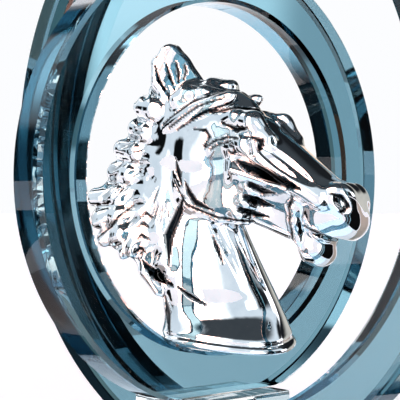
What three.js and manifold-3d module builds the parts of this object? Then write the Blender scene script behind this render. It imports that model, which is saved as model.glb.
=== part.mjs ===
import * as THREE from "three";
import { mergeVertices } from "three/addons/utils/BufferGeometryUtils.js";
import Module from "manifold-3d";

const wasm = await Module();
wasm.setup();

// Driving dimensions, in millimetres
const BASE_X = 84;
const BASE_Y = 124;
const BASE_HEIGHT = 18;
const BASE_BEVEL = 3;
const RING_THICKNESS = 15.2;
const RING_CHAMFER = 1.3;
const RING_STEPS = 72;
const OUTER_RADIUS = 111.3;
const OUTER_HOLE = 94.2;
const OUTER_FOOT_CUT = 6.4;
const INNER_RADIUS = 80;
const INNER_HOLE = 60.8;
const INNER_FOOT_CUT = 5;
const PAD_X = 42;
const PAD_Y = 35;
const PAD_HEIGHT = 7;
const FIT_GAP = 0.3;
const HEAD_TURN = -76;
const NECK_TURN = -56;
const HORSE_CELL = [2.85, 2.6, 2.8];

// Heights that follow from the stack of base, rings and pad
const OUTER_FOOT_Z = BASE_HEIGHT + FIT_GAP;
const OUTER_CENTRE_Z = OUTER_FOOT_Z + OUTER_RADIUS - OUTER_FOOT_CUT;
const PAD_BOTTOM_Z = OUTER_CENTRE_Z - OUTER_HOLE + FIT_GAP;
const PAD_TOP_Z = PAD_BOTTOM_Z + PAD_HEIGHT;
const INNER_FOOT_Z = PAD_TOP_Z + FIT_GAP;
const INNER_CENTRE_Z = INNER_FOOT_Z + INNER_RADIUS - INNER_FOOT_CUT;

const radians = (degrees) => (degrees * Math.PI) / 180;

// Closed solids from three.js shapes, and back again after a cut
function toSolid(geometry) {
  const bare = new THREE.BufferGeometry();
  const open = geometry.index ? geometry.toNonIndexed() : geometry;
  bare.setAttribute("position", open.getAttribute("position"));
  const welded = mergeVertices(bare, 1e-4);
  const vertProperties = new Float32Array(welded.attributes.position.array);
  const triVerts = new Uint32Array(welded.index.array);
  return new wasm.Manifold(new wasm.Mesh({ numProp: 3, vertProperties, triVerts }));
}

function toGeometry(solid) {
  const mesh = solid.getMesh();
  const geometry = new THREE.BufferGeometry();
  geometry.setAttribute("position", new THREE.BufferAttribute(mesh.vertProperties, 3));
  geometry.setIndex(new THREE.BufferAttribute(mesh.triVerts, 1));
  return geometry;
}

function boxSolid(width, depth, height, bottomZ) {
  const box = new THREE.BoxGeometry(width, depth, height);
  return toSolid(box.translate(0, 0, bottomZ + height / 2));
}

// A flat ring with chamfered edges, standing on edge; its axis is along X or along Y
function ringSolid(radius, hole, axis, centreZ, footCut) {
  const half = RING_THICKNESS / 2;
  const c = RING_CHAMFER;
  const profile = [
    [hole + c, -half],
    [radius - c, -half],
    [radius, -half + c],
    [radius, half - c],
    [radius - c, half],
    [hole + c, half],
    [hole, half - c],
    [hole, -half + c],
    [hole + c, -half],
  ].map(([r, y]) => new THREE.Vector2(r, y));
  const ring = new THREE.LatheGeometry(profile, RING_STEPS);
  if (axis === "x") ring.rotateZ(Math.PI / 2);
  const solid = toSolid(ring.translate(0, 0, centreZ));
  const foot = boxSolid(4 * radius, 4 * radius, 2 * radius, centreZ - radius + footCut - 2 * radius);
  return solid.subtract(foot);
}

// A block with its four top edges bevelled
function baseSolid() {
  const lower = BASE_HEIGHT - BASE_BEVEL;
  const steps = [
    [0, 0],
    [lower, 0],
    [BASE_HEIGHT, BASE_BEVEL],
  ];
  const corners = [
    [-1, -1],
    [1, -1],
    [1, 1],
    [-1, 1],
  ];
  const points = [];
  for (const [z, inset] of steps) {
    for (const [sx, sy] of corners) {
      points.push([sx * (BASE_X / 2 - inset), sy * (BASE_Y / 2 - inset), z]);
    }
  }
  const faces = [
    [0, 2, 1],
    [0, 3, 2],
    [8, 9, 10],
    [8, 10, 11],
  ];
  for (let level = 0; level < 2; level++) {
    for (let i = 0; i < 4; i++) {
      const a = 4 * level + i;
      const b = 4 * level + ((i + 1) % 4);
      faces.push([a, b, b + 4], [a, b + 4, a + 4]);
    }
  }
  return meshOf(points, faces);
}

function meshOf(points, faces) {
  const geometry = new THREE.BufferGeometry();
  geometry.setAttribute("position", new THREE.Float32BufferAttribute(points.flat(), 3));
  geometry.setIndex(faces.flat());
  return toSolid(geometry);
}

// The pad's underside follows the large ring's hole
function padSolid() {
  const block = boxSolid(PAD_X, PAD_Y, PAD_HEIGHT, PAD_BOTTOM_Z);
  const seat = new THREE.CylinderGeometry(OUTER_HOLE - FIT_GAP, OUTER_HOLE - FIT_GAP, 2 * PAD_X, 144);
  seat.rotateZ(Math.PI / 2).translate(0, 0, OUTER_CENTRE_Z);
  return block.intersect(toSolid(seat));
}

// Rounded forms for the horse: u runs forward to the muzzle, v to one side, z up from the ring's centre.
// Each returns the distance to its own surface, and a join blends two of them over the width k.
function join(a, b, k) {
  const h = Math.max(k - Math.abs(a - b), 0) / k;
  return Math.min(a, b) - 0.25 * h * h * k;
}

const carve = (a, b, k) => -join(-a, b, k);

function egg(p, c, r, pitch = 0, yaw = 0) {
  let x = p[0] - c[0];
  let y = p[1] - c[1];
  let z = p[2] - c[2];
  const sy = Math.sin(radians(yaw));
  const cy = Math.cos(radians(yaw));
  [x, y] = [cy * x + sy * y, cy * y - sy * x];
  const sp = Math.sin(radians(pitch));
  const cp = Math.cos(radians(pitch));
  [x, z] = [cp * x + sp * z, cp * z - sp * x];
  const k0 = Math.hypot(x / r[0], y / r[1], z / r[2]);
  const k1 = Math.hypot(x / r[0] ** 2, y / r[1] ** 2, z / r[2] ** 2);
  return (k0 * (k0 - 1)) / Math.max(k1, 1e-6);
}

const ball = (p, c, r) => Math.hypot(p[0] - c[0], p[1] - c[1], p[2] - c[2]) - r;

function cone(p, a, b) {
  const d = [b[0] - a[0], b[1] - a[1], b[2] - a[2]];
  const q = [p[0] - a[0], p[1] - a[1], p[2] - a[2]];
  const along = (q[0] * d[0] + q[1] * d[1] + q[2] * d[2]) / (d[0] ** 2 + d[1] ** 2 + d[2] ** 2);
  const t = Math.min(Math.max(along, 0), 1);
  const gap = Math.hypot(q[0] - t * d[0], q[1] - t * d[1], q[2] - t * d[2]);
  return gap - (a[3] + (b[3] - a[3]) * t);
}

function chain(p, stations, k) {
  let d = cone(p, stations[0], stations[1]);
  for (let i = 1; i + 1 < stations.length; i++) {
    d = join(d, cone(p, stations[i], stations[i + 1]), k);
  }
  return d;
}

// A bar with a flat of its own half width between two rounded edges: u, z, edge radius, flat
function flatCone(p, a, b) {
  const du = b[0] - a[0];
  const dz = b[1] - a[1];
  const x = p[0] - a[0];
  const z = p[2] - a[1];
  const t = Math.min(Math.max((x * du + z * dz) / (du * du + dz * dz), 0), 1);
  const y = Math.max(p[1] - (a[3] + (b[3] - a[3]) * t), 0);
  return Math.hypot(x - t * du, y, z - t * dz) - (a[2] + (b[2] - a[2]) * t);
}

// A rounded block: an egg whose sides are flatter the higher n is
function pebble(p, c, r, n) {
  const q = [0, 1, 2].map((k) => Math.abs(p[k] - c[k]) / r[k]);
  const k0 = Math.max((q[0] ** n + q[1] ** n + q[2] ** n) ** (1 / n), 1e-4);
  const k1 = Math.hypot(...q.map((value, k) => value ** (n - 1) / r[k])) / k0 ** (n - 1);
  return (k0 - 1) / Math.max(k1, 1e-4);
}

const facet = (p, n, c) => n[0] * p[0] + n[1] * p[1] + n[2] * p[2] - c;

// Neck sections from the foot up: height, middle, half length and half width
const NECK_SECTIONS = [
  [-72, 8.4, 26.8, 16.6],
  [-60, 6.1, 24.2, 16.6],
  [-56, 5.3, 23.2, 15.6],
  [-47, 3.4, 21.2, 11.4],
  [-38, 1.2, 19.0, 10.6],
  [-25, -3.2, 16.4, 9.8],
  [-14, -6.0, 14.2, 9.4],
  [2, -5.5, 14.4, 9.6],
  [16, -4.0, 12.0, 9.8],
  [28, -1.0, 8.0, 7.0],
  [36, 0, 5, 5],
];

function sectionAt(z, column) {
  const rows = NECK_SECTIONS;
  const last = rows.length - 1;
  const slope = (i) => {
    const a = rows[Math.max(i - 1, 0)];
    const b = rows[Math.min(i + 1, last)];
    return (b[column] - a[column]) / (b[0] - a[0]);
  };
  let i = 0;
  while (i < last - 1 && z > rows[i + 1][0]) i++;
  const h = rows[i + 1][0] - rows[i][0];
  const t = Math.min(Math.max((z - rows[i][0]) / h, 0), 1);
  const s = t * t * (3 - 2 * t);
  const rise = t * (1 - t) * (1 - t) * h * slope(i) - t * t * (1 - t) * h * slope(i + 1);
  return rows[i][column] * (1 - s) + rows[i + 1][column] * s + rise;
}

function neckForm(p) {
  const a = sectionAt(p[2], 2);
  const w = sectionAt(p[2], 3);
  const x = Math.abs(p[0] - sectionAt(p[2], 1)) / a;
  const y = Math.abs(p[1]) / w;
  const n = 2.6;
  const k0 = (x ** n + y ** n) ** (1 / n);
  const k1 = Math.hypot(x ** (n - 1) / a, y ** (n - 1) / w) / Math.max(k0, 1e-4) ** (n - 1);
  let d = Math.min(Math.max((k0 - 1) / Math.max(k1, 1e-4), -14), 60);
  d = carve(d, 31 - p[2], 4);
  // crest muscle from the poll to the withers
  const muscle = [[-9, 4.2, 22, 5.4], [-13.5, 4, 8, 5.6], [-16.5, 4, -6, 5.8], [-17, 3.8, -18, 5.6]];
  d = join(d, chain(p, [...muscle, [-15.5, 3.6, -30, 5]], 2), 4);
  // windpipe, and the hollow under the mane's end
  d = join(d, cone(p, [5.4, 0, -14, 4.6], [26.9, 0, -70, 6.9]), 2.5);
  d = carve(d, chain(p, [[-27, 7, -38, 4], [-22.5, 8.5, -48, 3], [-17.5, 11, -68, 2.6]], 1), 2.5);
  return Math.max(d, -68 - p[2]);
}

function headForm(p) {
  // skull and temple
  let d = egg(p, [6.5, 0, 15.6], [14.5, 12, 13.4]);
  d = join(d, egg(p, [-1, 7.2, 12], [11, 4.6, 11]), 3);
  // flat face from the forehead to the nose, hollow along its sides
  d = join(d, flatCone(p, [10, 15.8, 6.8, 5], [20, 14.4, 4.4, 9]), 3);
  d = join(d, flatCone(p, [20, 14.6, 4.6, 9.8], [45, -5.4, 4, 8.4]), 2.5);
  d = carve(d, egg(p, [35, 17, 2.6], [16.5, 8.8, 4], -34), 1);
  // muzzle, lower face, jaw and chin
  d = join(d, pebble(p, [48.4, 0, -11], [8.6, 9.2, 9.6], 2.8), 3);
  d = join(d, cone(p, [20, 0, -1, 8.2], [42, 0, -13, 7.2]), 4);
  d = join(d, ball(p, [48, 0, -16], 6), 3);
  d = join(d, cone(p, [12, 0, -5.5, 8.6], [37, 0, -20.5, 4.8]), 3.5);
  d = join(d, egg(p, [38, 0, -25], [6.6, 6.2, 6]), 2.5);
  // cheekbone: a long ledge under the hollow of the face
  let ledge = carve(facet(p, [0.24, 0.79, 0.564], 15.4), -facet(p, [-0.1, 0.784, -0.607], 8.4), 1);
  for (const end of [facet(p, [0.64, 0, 0.77], 24.5), p[0] - 41, 14 - p[0]]) {
    ledge = carve(ledge, -end, 2);
  }
  d = join(d, ledge, 1);
  // round cheek with three soft folds on its front edge
  d = join(d, pebble(p, [4, 5.6, -0.2], [16, 6.6, 14.6], 2.9), 3);
  d = join(d, ball(p, [19.6, 7.8, -3.4], 4), 1.6);
  d = join(d, ball(p, [17, 7.4, -8], 4), 1.6);
  d = join(d, ball(p, [13.4, 6.8, -12.2], 3.8), 1.6);
  // brow ridge, with the crease below it
  const brow = [[7, 8, 18.6, 2.4], [15, 9.6, 20, 3], [22, 10, 18.2, 3.5], [28, 9.6, 12.8, 2.4]];
  d = join(d, chain(p, brow, 3), 3);
  d = carve(d, chain(p, [[8.5, 14.2, 17.2, 1.2], [16.4, 15, 15.4, 1.6], [22.4, 14.2, 14.2, 0.8]], 1), 1.6);
  // eye socket and eyeball
  d = carve(d, egg(p, [13.8, 14.2, 9.8], [4.6, 2.6, 2.6], -12), 1.2);
  d = join(d, ball(p, [14.9, 10.1, 9.6], 2.9), 0.5);
  // lips, nostril, mouth
  d = join(d, egg(p, [43, 4.2, -14.2], [6.8, 5.4, 7.4]), 2);
  d = join(d, egg(p, [51.6, 6, -7.6], [5.4, 4, 5.6], 0, -25), 1.5);
  d = carve(d, egg(p, [53.8, 10.4, -8.6], [2.6, 3, 3.8], 30, -35), 0.9);
  d = carve(d, egg(p, [48.5, 0, -21.9], [9, 14, 1.4], -17), 1.2);
  // ears, laid back and long
  return join(d, egg(p, [0, 8.8, 22.8], [15.6, 3.2, 4.2], 20), 1);
}

// Mane: root, middle and tip of each lock, thickest at the root
const TUFT_LOCKS = [
  [[-10.3, 1.5, 32.5, 5.6], [-14.8, 1.6, 38.6, 5], [-18.4, 1.2, 44, 4]],
  [[-15.5, 3, 29.5, 5], [-19.4, 3.2, 35, 4.6], [-21.4, 2.6, 40.6, 3.6]],
];
const MANE_LOCKS = [
  [[-14.5, 3.4, 22.5, 5.4], [-21.5, 4, 24, 5.4], [-27.2, 3.2, 25, 4.9]],
  [[-19, 3.6, 14, 4.8], [-25, 4.4, 15.6, 4.4], [-31.2, 3, 17.6, 3.8]],
  [[-21, 3.8, 7, 4.8], [-29, 4.6, 8.6, 4.4], [-37.4, 3, 10.2, 4]],
  [[-24, 3.8, 0, 4.8], [-32, 4.6, 1, 4.4], [-40.2, 3, 2, 4]],
  [[-25, 3.8, -5.5, 4.8], [-36, 4.6, -6.6, 4.4], [-48.4, 3, -7.2, 3.6]],
  [[-26, 3.8, -11, 4.8], [-35, 4.6, -13.2, 4.4], [-44.8, 3, -14.9, 4]],
  [[-26, 3.8, -16.5, 4.8], [-33, 4.4, -19.6, 4.2], [-40.4, 3, -22, 3.8]],
  [[-25, 3.6, -21, 4.4], [-29, 4, -24.6, 3.8], [-32.4, 3, -26.6, 3.2]],
];

function maneForm(p) {
  // forelock
  let d = chain(p, [[-8, 2, 29, 4.2], [0, 1.2, 31, 3.9], [6.6, 0.4, 31.2, 3]], 1.5);
  d = join(d, chain(p, [[2, 3, 28, 3.6], [9.5, 1.6, 26.8, 2.8], [13.6, 0.6, 24.8, 2]], 1.5), 1);
  const side = [[7, 5, 28.6, 1.6], [0, 6.4, 29.6, 2.2], [-7, 6.6, 28.8, 3.6], [-9.4, 6.4, 27, 4.4]];
  d = join(d, chain(p, side, 1.5), 1);
  // crest of the neck and the thick fan that the locks lie on
  const crest = [[-8, 0, 26, 7.4], [-15, 0, 17, 8.8], [-19.6, 0, 5, 9.4], [-22.8, 0, -8, 9.2]];
  d = join(d, chain(p, [...crest, [-24, 0, -20, 8], [-24, 0, -28, 5.6]], 2), 2);
  const fan = [[-20.5, 0, 31.5, 5.6], [-25.5, 0, 24.5, 5.6], [-29, 0, 17.5, 5], [-34, 0, 10, 5]];
  fan.push([-37.4, 0, 2.5, 5], [-43, 0, -6, 4.8], [-42, 0, -14, 4.8], [-38, 0, -20.5, 4.6]);
  d = join(d, chain(p, [...fan, [-31.5, 0, -25.2, 4]], 2), 3);
  d = join(d, cone(p, [-31, 0, 4, 5.5], [-32, 0, -17, 5.5]), 3);
  for (const lock of MANE_LOCKS) d = join(d, chain(p, lock, 1.5), 1.6);
  // top tuft, flat like a leaf, with a thin front edge
  let tuft = cone(p, [-16.6, 0, 39, 5.8], [-20.5, 0, 31.5, 5.6]);
  for (const lock of TUFT_LOCKS) tuft = join(tuft, chain(p, lock, 1.5), 1.6);
  d = join(d, carve(tuft, -facet(p, [0.35, 0.9, 0.25], 8), 1), 1.6);
  return join(d, chain(p, [[-22, 3, -26, 4.5], [-23, 3, -33, 3.6], [-19, 3.4, -40, 2.2]], 1), 2);
}

function horseForm(u, v, z) {
  const p = [u, Math.abs(v), z];
  return join(join(neckForm(p), headForm(p), 1.6), maneForm(p), 2.5);
}

// A faceted skin over a form: one corner in every grid cell that the surface crosses
function skin(form, low, high, cell) {
  const n = [0, 1, 2].map((k) => Math.ceil((high[k] - low[k]) / cell[k]) + 1);
  const at = (i, j, k) => (k * n[1] + j) * n[0] + i;
  const place = (i, j, k) => [low[0] + i * cell[0], low[1] + j * cell[1], low[2] + k * cell[2]];
  const value = new Float64Array(n[0] * n[1] * n[2]);
  for (let k = 0; k < n[2]; k++) {
    for (let j = 0; j < n[1]; j++) {
      for (let i = 0; i < n[0]; i++) value[at(i, j, k)] = form(...place(i, j, k));
    }
  }
  closeThinGaps(value, n, at);
  fillHidden(value, n, at);
  const corner = new Int32Array(value.length).fill(-1);
  const points = [];
  for (let k = 0; k + 1 < n[2]; k++) {
    for (let j = 0; j + 1 < n[1]; j++) {
      for (let i = 0; i + 1 < n[0]; i++) {
        const point = cellPoint(value, at, place, i, j, k);
        if (!point) continue;
        corner[at(i, j, k)] = points.length;
        points.push(settle(form, point, cell));
      }
    }
  }
  const faces = [];
  const step = [[1, 0, 0], [0, 1, 0], [0, 0, 1]];
  for (let k = 1; k + 1 < n[2]; k++) {
    for (let j = 1; j + 1 < n[1]; j++) {
      for (let i = 1; i + 1 < n[0]; i++) {
        const here = value[at(i, j, k)] < 0;
        for (let axis = 0; axis < 3; axis++) {
          const s = step[axis];
          if (here === value[at(i + s[0], j + s[1], k + s[2])] < 0) continue;
          const b = step[(axis + 1) % 3];
          const c = step[(axis + 2) % 3];
          const quad = [[0, 0], [1, 0], [1, 1], [0, 1]].map(([x, y]) =>
            corner[at(i - x * b[0] - y * c[0], j - x * b[1] - y * c[1], k - x * b[2] - y * c[2])]);
          if (!here) quad.reverse();
          const span = (m, o) => new THREE.Vector3(...points[m]).distanceTo(new THREE.Vector3(...points[o]));
          const turn = span(quad[0], quad[2]) <= span(quad[1], quad[3]) ? 0 : 1;
          const [q0, q1, q2, q3] = [0, 1, 2, 3].map((m) => quad[(m + turn) % 4]);
          faces.push([q0, q1, q2], [q0, q2, q3]);
        }
      }
    }
  }
  return { points, faces };
}

// Cells whose solid corners don't all meet along edges would pinch the skin, so they are filled
function closeThinGaps(value, n, at) {
  const bits = [0, 1, 2, 3, 4, 5, 6, 7];
  const linked = (set) => {
    if (!set.length) return true;
    const seen = [set[0]];
    for (const a of seen) {
      for (const b of set) {
        if ([1, 2, 4].includes(a ^ b) && !seen.includes(b)) seen.push(b);
      }
    }
    return seen.length === set.length;
  };
  const faceSets = [];
  for (const axis of [1, 2, 4]) {
    faceSets.push(bits.filter((b) => b & axis), bits.filter((b) => !(b & axis)));
  }
  for (let changed = true; changed; ) {
    changed = false;
    for (let k = 0; k + 1 < n[2]; k++) {
      for (let j = 0; j + 1 < n[1]; j++) {
        for (let i = 0; i + 1 < n[0]; i++) {
          const index = bits.map((b) => at(i + (b & 1), j + ((b >> 1) & 1), k + (b >> 2)));
          const solid = bits.filter((b) => value[index[b]] < 0);
          if (!solid.length || solid.length === 8) continue;
          const split = faceSets.some((f) => !linked(f.filter((b) => solid.includes(b))));
          const air = bits.filter((b) => !solid.includes(b));
          if (!split && linked(solid) && linked(air)) continue;
          const fill = air.reduce((a, b) => (value[index[a]] <= value[index[b]] ? a : b));
          value[index[fill]] = -0.2;
          changed = true;
        }
      }
    }
  }
}

// Air that the outside can't reach becomes solid
function fillHidden(value, n, at) {
  const reached = new Uint8Array(value.length);
  const queue = [[0, 0, 0]];
  reached[0] = 1;
  const moves = [[1, 0, 0], [-1, 0, 0], [0, 1, 0], [0, -1, 0], [0, 0, 1], [0, 0, -1]];
  for (const cell of queue) {
    for (const move of moves) {
      const next = cell.map((c, m) => c + move[m]);
      if (next.some((c, m) => c < 0 || c >= n[m])) continue;
      const index = at(...next);
      if (reached[index] || value[index] < 0) continue;
      reached[index] = 1;
      queue.push(next);
    }
  }
  for (let index = 0; index < value.length; index++) {
    if (value[index] >= 0 && !reached[index]) value[index] = -0.2;
  }
}

// The mean of the points where the surface crosses a cell's edges
function cellPoint(value, at, place, i, j, k) {
  const sum = [0, 0, 0];
  let count = 0;
  for (let a = 0; a < 8; a++) {
    for (const bit of [1, 2, 4]) {
      if (a & bit) continue;
      const ends = [a, a | bit].map((b) => [i + (b & 1), j + ((b >> 1) & 1), k + (b >> 2)]);
      const [va, vb] = ends.map((e) => value[at(...e)]);
      if (va < 0 === vb < 0) continue;
      const t = va / (va - vb);
      const [pa, pb] = ends.map((e) => place(...e));
      for (let m = 0; m < 3; m++) sum[m] += pa[m] + t * (pb[m] - pa[m]);
      count++;
    }
  }
  return count ? sum.map((s) => s / count) : null;
}

// Moves a corner onto the form, never further than part of a cell
function settle(form, start, cell) {
  const point = [...start];
  const e = 0.2;
  for (let round = 0; round < 3; round++) {
    const d = form(...point);
    const slope = [0, 1, 2].map((m) => {
      const ahead = [...point];
      const behind = [...point];
      ahead[m] += e;
      behind[m] -= e;
      return (form(...ahead) - form(...behind)) / (2 * e);
    });
    const size = Math.max(slope[0] ** 2 + slope[1] ** 2 + slope[2] ** 2, 0.3);
    for (let m = 0; m < 3; m++) {
      const moved = point[m] - (0.9 * d * slope[m]) / size;
      point[m] = Math.min(Math.max(moved, start[m] - 0.45 * cell[m]), start[m] + 0.45 * cell[m]);
    }
  }
  return point;
}

// The head is turned a little from the line of the neck, about the upright axis
function turned([u, v, z]) {
  const t = Math.min(Math.max((z + 45) / 50, 0), 1);
  const angle = radians(NECK_TURN + (HEAD_TURN - NECK_TURN) * t * t * (3 - 2 * t));
  const c = Math.cos(angle);
  const s = Math.sin(angle);
  return [c * u - s * v, s * u + c * v, z + INNER_CENTRE_Z];
}

// The bust's foot follows the small ring's hole
function horseSolid() {
  const { points, faces } = skin(horseForm, [-58, -20.8, -72], [62, 20.8, 54], HORSE_CELL);
  const seatRadius = INNER_HOLE - FIT_GAP;
  const seat = new THREE.CylinderGeometry(seatRadius, seatRadius, 8 * RING_THICKNESS, 144);
  seat.translate(0, 0, INNER_CENTRE_Z);
  const whole = meshOf(points.map(turned), faces);
  return whole.intersect(toSolid(seat));
}

// Named pieces
const smokyCrystal = () => new THREE.MeshStandardMaterial({ color: 0x6f9fb4, roughness: 0.05, opacity: 0.7 });
const clearCrystal = () => new THREE.MeshStandardMaterial({ color: 0xe6eef2, roughness: 0.05, opacity: 0.5 });
const mirrorPlate = () => new THREE.MeshStandardMaterial({ color: 0xd9dee3, roughness: 0.05, metalness: 1 });

const group = new THREE.Group();
group.name = "horse_head_trophy";

function addPiece(name, solid, material) {
  const mesh = new THREE.Mesh(toGeometry(solid), material);
  mesh.name = name;
  group.add(mesh);
}

addPiece("base", baseSolid(), clearCrystal());
const outerRing = ringSolid(OUTER_RADIUS, OUTER_HOLE, "x", OUTER_CENTRE_Z, OUTER_FOOT_CUT);
addPiece("outer_ring", outerRing, smokyCrystal());
addPiece("pad", padSolid(), clearCrystal());
const innerRing = ringSolid(INNER_RADIUS, INNER_HOLE, "y", INNER_CENTRE_Z, INNER_FOOT_CUT);
addPiece("inner_ring", innerRing, smokyCrystal());
addPiece("horse_head", horseSolid(), mirrorPlate());

export default group;
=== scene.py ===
import math

import bmesh
import bpy
import numpy as np
from mathutils import Matrix, Vector


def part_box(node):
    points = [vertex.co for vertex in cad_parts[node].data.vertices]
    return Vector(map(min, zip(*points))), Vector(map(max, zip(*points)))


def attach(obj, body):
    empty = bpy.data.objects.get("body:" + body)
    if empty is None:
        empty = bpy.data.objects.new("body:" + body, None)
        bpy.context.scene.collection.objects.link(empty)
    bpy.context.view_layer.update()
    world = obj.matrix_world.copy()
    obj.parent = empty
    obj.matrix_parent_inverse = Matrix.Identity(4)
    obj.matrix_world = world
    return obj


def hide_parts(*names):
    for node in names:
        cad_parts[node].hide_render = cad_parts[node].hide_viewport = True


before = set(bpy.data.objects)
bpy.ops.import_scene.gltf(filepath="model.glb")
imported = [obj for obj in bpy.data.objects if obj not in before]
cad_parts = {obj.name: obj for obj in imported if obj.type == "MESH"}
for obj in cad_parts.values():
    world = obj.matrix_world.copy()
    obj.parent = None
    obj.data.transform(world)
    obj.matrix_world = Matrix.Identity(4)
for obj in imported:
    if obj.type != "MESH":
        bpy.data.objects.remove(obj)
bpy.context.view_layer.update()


# Base
# A low rectangular block of clear optical crystal, sawn, then ground and polished on every face.
# Its four top edges carry a wide polished bevel, and the large ring is bonded to its top.

def linear(hex_code):
    """A colour as the shader wants it, from the sRGB hex value that the eye reads."""
    parts = [int(hex_code[i:i + 2], 16) / 255 for i in (1, 3, 5)]
    return tuple(p / 12.92 if p <= 0.04045 else ((p + 0.055) / 1.055) ** 2.4 for p in parts) + (1.0,)


def add_node(tree, kind, values=None, links=None, **settings):
    """One node: its own settings, plain values for its inputs, and links into them."""
    node = tree.nodes.new(kind)
    for name, value in settings.items():
        setattr(node, name, value)
    for key, value in (values or {}).items():
        node.inputs[key].default_value = value
    for key, socket in (links or {}).items():
        tree.links.new(socket, node.inputs[key])
    return node


def mesh_object(name, verts, faces, material):
    mesh = bpy.data.meshes.new(name)
    mesh.from_pydata([tuple(v) for v in verts], [], [tuple(f) for f in faces])
    mesh.materials.append(material)
    piece = bpy.data.objects.new(name, mesh)
    bpy.context.scene.collection.objects.link(piece)
    return piece


def polish_edges(piece, width):
    """The hairline bevel that polishing leaves on every sharp edge of a crystal block."""
    bevel = piece.modifiers.new("arris", "BEVEL")
    bevel.width = width
    bevel.segments = 2
    bevel.limit_method = "ANGLE"
    bevel.angle_limit = math.radians(25)
    view = piece.evaluated_get(bpy.context.evaluated_depsgraph_get())
    finished = bpy.data.meshes.new_from_object(view)
    piece.modifiers.clear()
    piece.data = finished


def clear_crystal():
    """Clear optical crystal, cut and polished: bright sharp glints, a faint cool body colour in depth."""
    material = bpy.data.materials.new("clear_crystal_polished")
    material.use_nodes = True
    tree = material.node_tree
    tree.nodes.clear()
    place = add_node(tree, "ShaderNodeTexCoord")
    # polishing haze wanders over patches of about 20 mm
    haze = add_node(tree, "ShaderNodeTexNoise", {"Scale": 50.0, "Detail": 3.0, "Roughness": 0.6},
                    {"Vector": place.outputs["Object"]})
    gloss = add_node(tree, "ShaderNodeMapRange", {"From Min": 0.3, "From Max": 0.75, "To Min": 0.0, "To Max": 0.05},
                     {"Value": haze.outputs["Fac"]})
    # faint polishing ripple, about 3 mm apart
    ripple = add_node(tree, "ShaderNodeTexNoise", {"Scale": 330.0, "Detail": 1.0},
                      {"Vector": place.outputs["Object"]})
    bump = add_node(tree, "ShaderNodeBump", {"Strength": 0.02, "Distance": 0.0004},
                    {"Height": ripple.outputs["Fac"]})
    shader = add_node(tree, "ShaderNodeBsdfPrincipled",
                      {"Base Color": linear("#FBFDFD"), "IOR": 1.54, "Transmission Weight": 1.0},
                      {"Roughness": gloss.outputs["Result"], "Normal": bump.outputs["Normal"]})
    depth = add_node(tree, "ShaderNodeVolumeAbsorption", {"Color": (0.55, 0.80, 0.84, 1.0), "Density": 5.0})
    out = add_node(tree, "ShaderNodeOutputMaterial")
    tree.links.new(shader.outputs["BSDF"], out.inputs["Surface"])
    tree.links.new(depth.outputs["Volume"], out.inputs["Volume"])
    return material


CLEAR_CRYSTAL = clear_crystal()

base_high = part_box("base")[1]
BASE_BEVEL = 0.003
ARRIS = 0.0004
base_corners = [(-1, -1), (1, -1), (1, 1), (-1, 1)]
base_verts = []
for level, inset in ((0.0, 0.0), (base_high.z - BASE_BEVEL, 0.0), (base_high.z, BASE_BEVEL)):
    for sx, sy in base_corners:
        base_verts.append((sx * (base_high.x - inset), sy * (base_high.y - inset), level))
base_faces = [(3, 2, 1, 0), (8, 9, 10, 11)]
for level in (0, 4):
    for i in range(4):
        j = (i + 1) % 4
        base_faces.append((level + i, level + j, level + j + 4, level + i + 4))
base = mesh_object("base_block", base_verts, base_faces, CLEAR_CRYSTAL)
polish_edges(base, ARRIS)
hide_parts("base")
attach(base, "root")


# Outer ring
# The large ring, sawn from smoky blue crystal plate 15 mm thick, turned true and polished on its two faces.
# All four edges are chamfered, the rims keep the fine marks of the grinding wheel, and a flat ground on the
# bottom is bonded to the base.

def smoky_crystal():
    """Smoky blue crystal plate: pale steel blue through its thickness, deep teal where light runs along it."""
    material = bpy.data.materials.new("smoky_blue_crystal_polished")
    material.use_nodes = True
    tree = material.node_tree
    tree.nodes.clear()
    place = add_node(tree, "ShaderNodeTexCoord")
    rim = add_node(tree, "ShaderNodeAttribute", attribute_name="rim")
    # wheel marks on the rims: streaks about 0.6 mm apart, drawn across the rim and broken up over 20 mm
    marks = add_node(tree, "ShaderNodeTexNoise", {"Scale": 900.0, "Detail": 2.0, "Roughness": 0.7},
                     {"Vector": place.outputs["Object"]})
    patches = add_node(tree, "ShaderNodeTexNoise", {"Scale": 60.0, "Detail": 2.0},
                       {"Vector": place.outputs["Object"]})
    worn = add_node(tree, "ShaderNodeMath", {}, {0: marks.outputs["Fac"], 1: patches.outputs["Fac"]},
                    operation="MULTIPLY")
    on_rim = add_node(tree, "ShaderNodeMath", {}, {0: worn.outputs["Value"], 1: rim.outputs["Fac"]},
                      operation="MULTIPLY")
    gloss = add_node(tree, "ShaderNodeMapRange", {"From Min": 0.0, "From Max": 0.5, "To Min": 0.0, "To Max": 0.05},
                     {"Value": on_rim.outputs["Value"]})
    bump = add_node(tree, "ShaderNodeBump", {"Strength": 0.004, "Distance": 0.0003},
                    {"Height": on_rim.outputs["Value"]})
    shader = add_node(tree, "ShaderNodeBsdfPrincipled",
                      {"Base Color": linear("#F2FAFC"), "IOR": 1.52, "Transmission Weight": 1.0},
                      {"Roughness": gloss.outputs["Result"], "Normal": bump.outputs["Normal"]})
    depth = add_node(tree, "ShaderNodeVolumeAbsorption", {"Color": (0.0, 0.343, 0.454, 1.0), "Density": 104.0})
    out = add_node(tree, "ShaderNodeOutputMaterial")
    tree.links.new(shader.outputs["BSDF"], out.inputs["Surface"])
    tree.links.new(depth.outputs["Volume"], out.inputs["Volume"])
    return material


SMOKY_CRYSTAL = smoky_crystal()
OUTER_RADIUS, OUTER_HOLE = 0.1113, 0.0942
PLATE = 0.0152
RING_CHAMFER = 0.0013
RING_STEPS = 360


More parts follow.
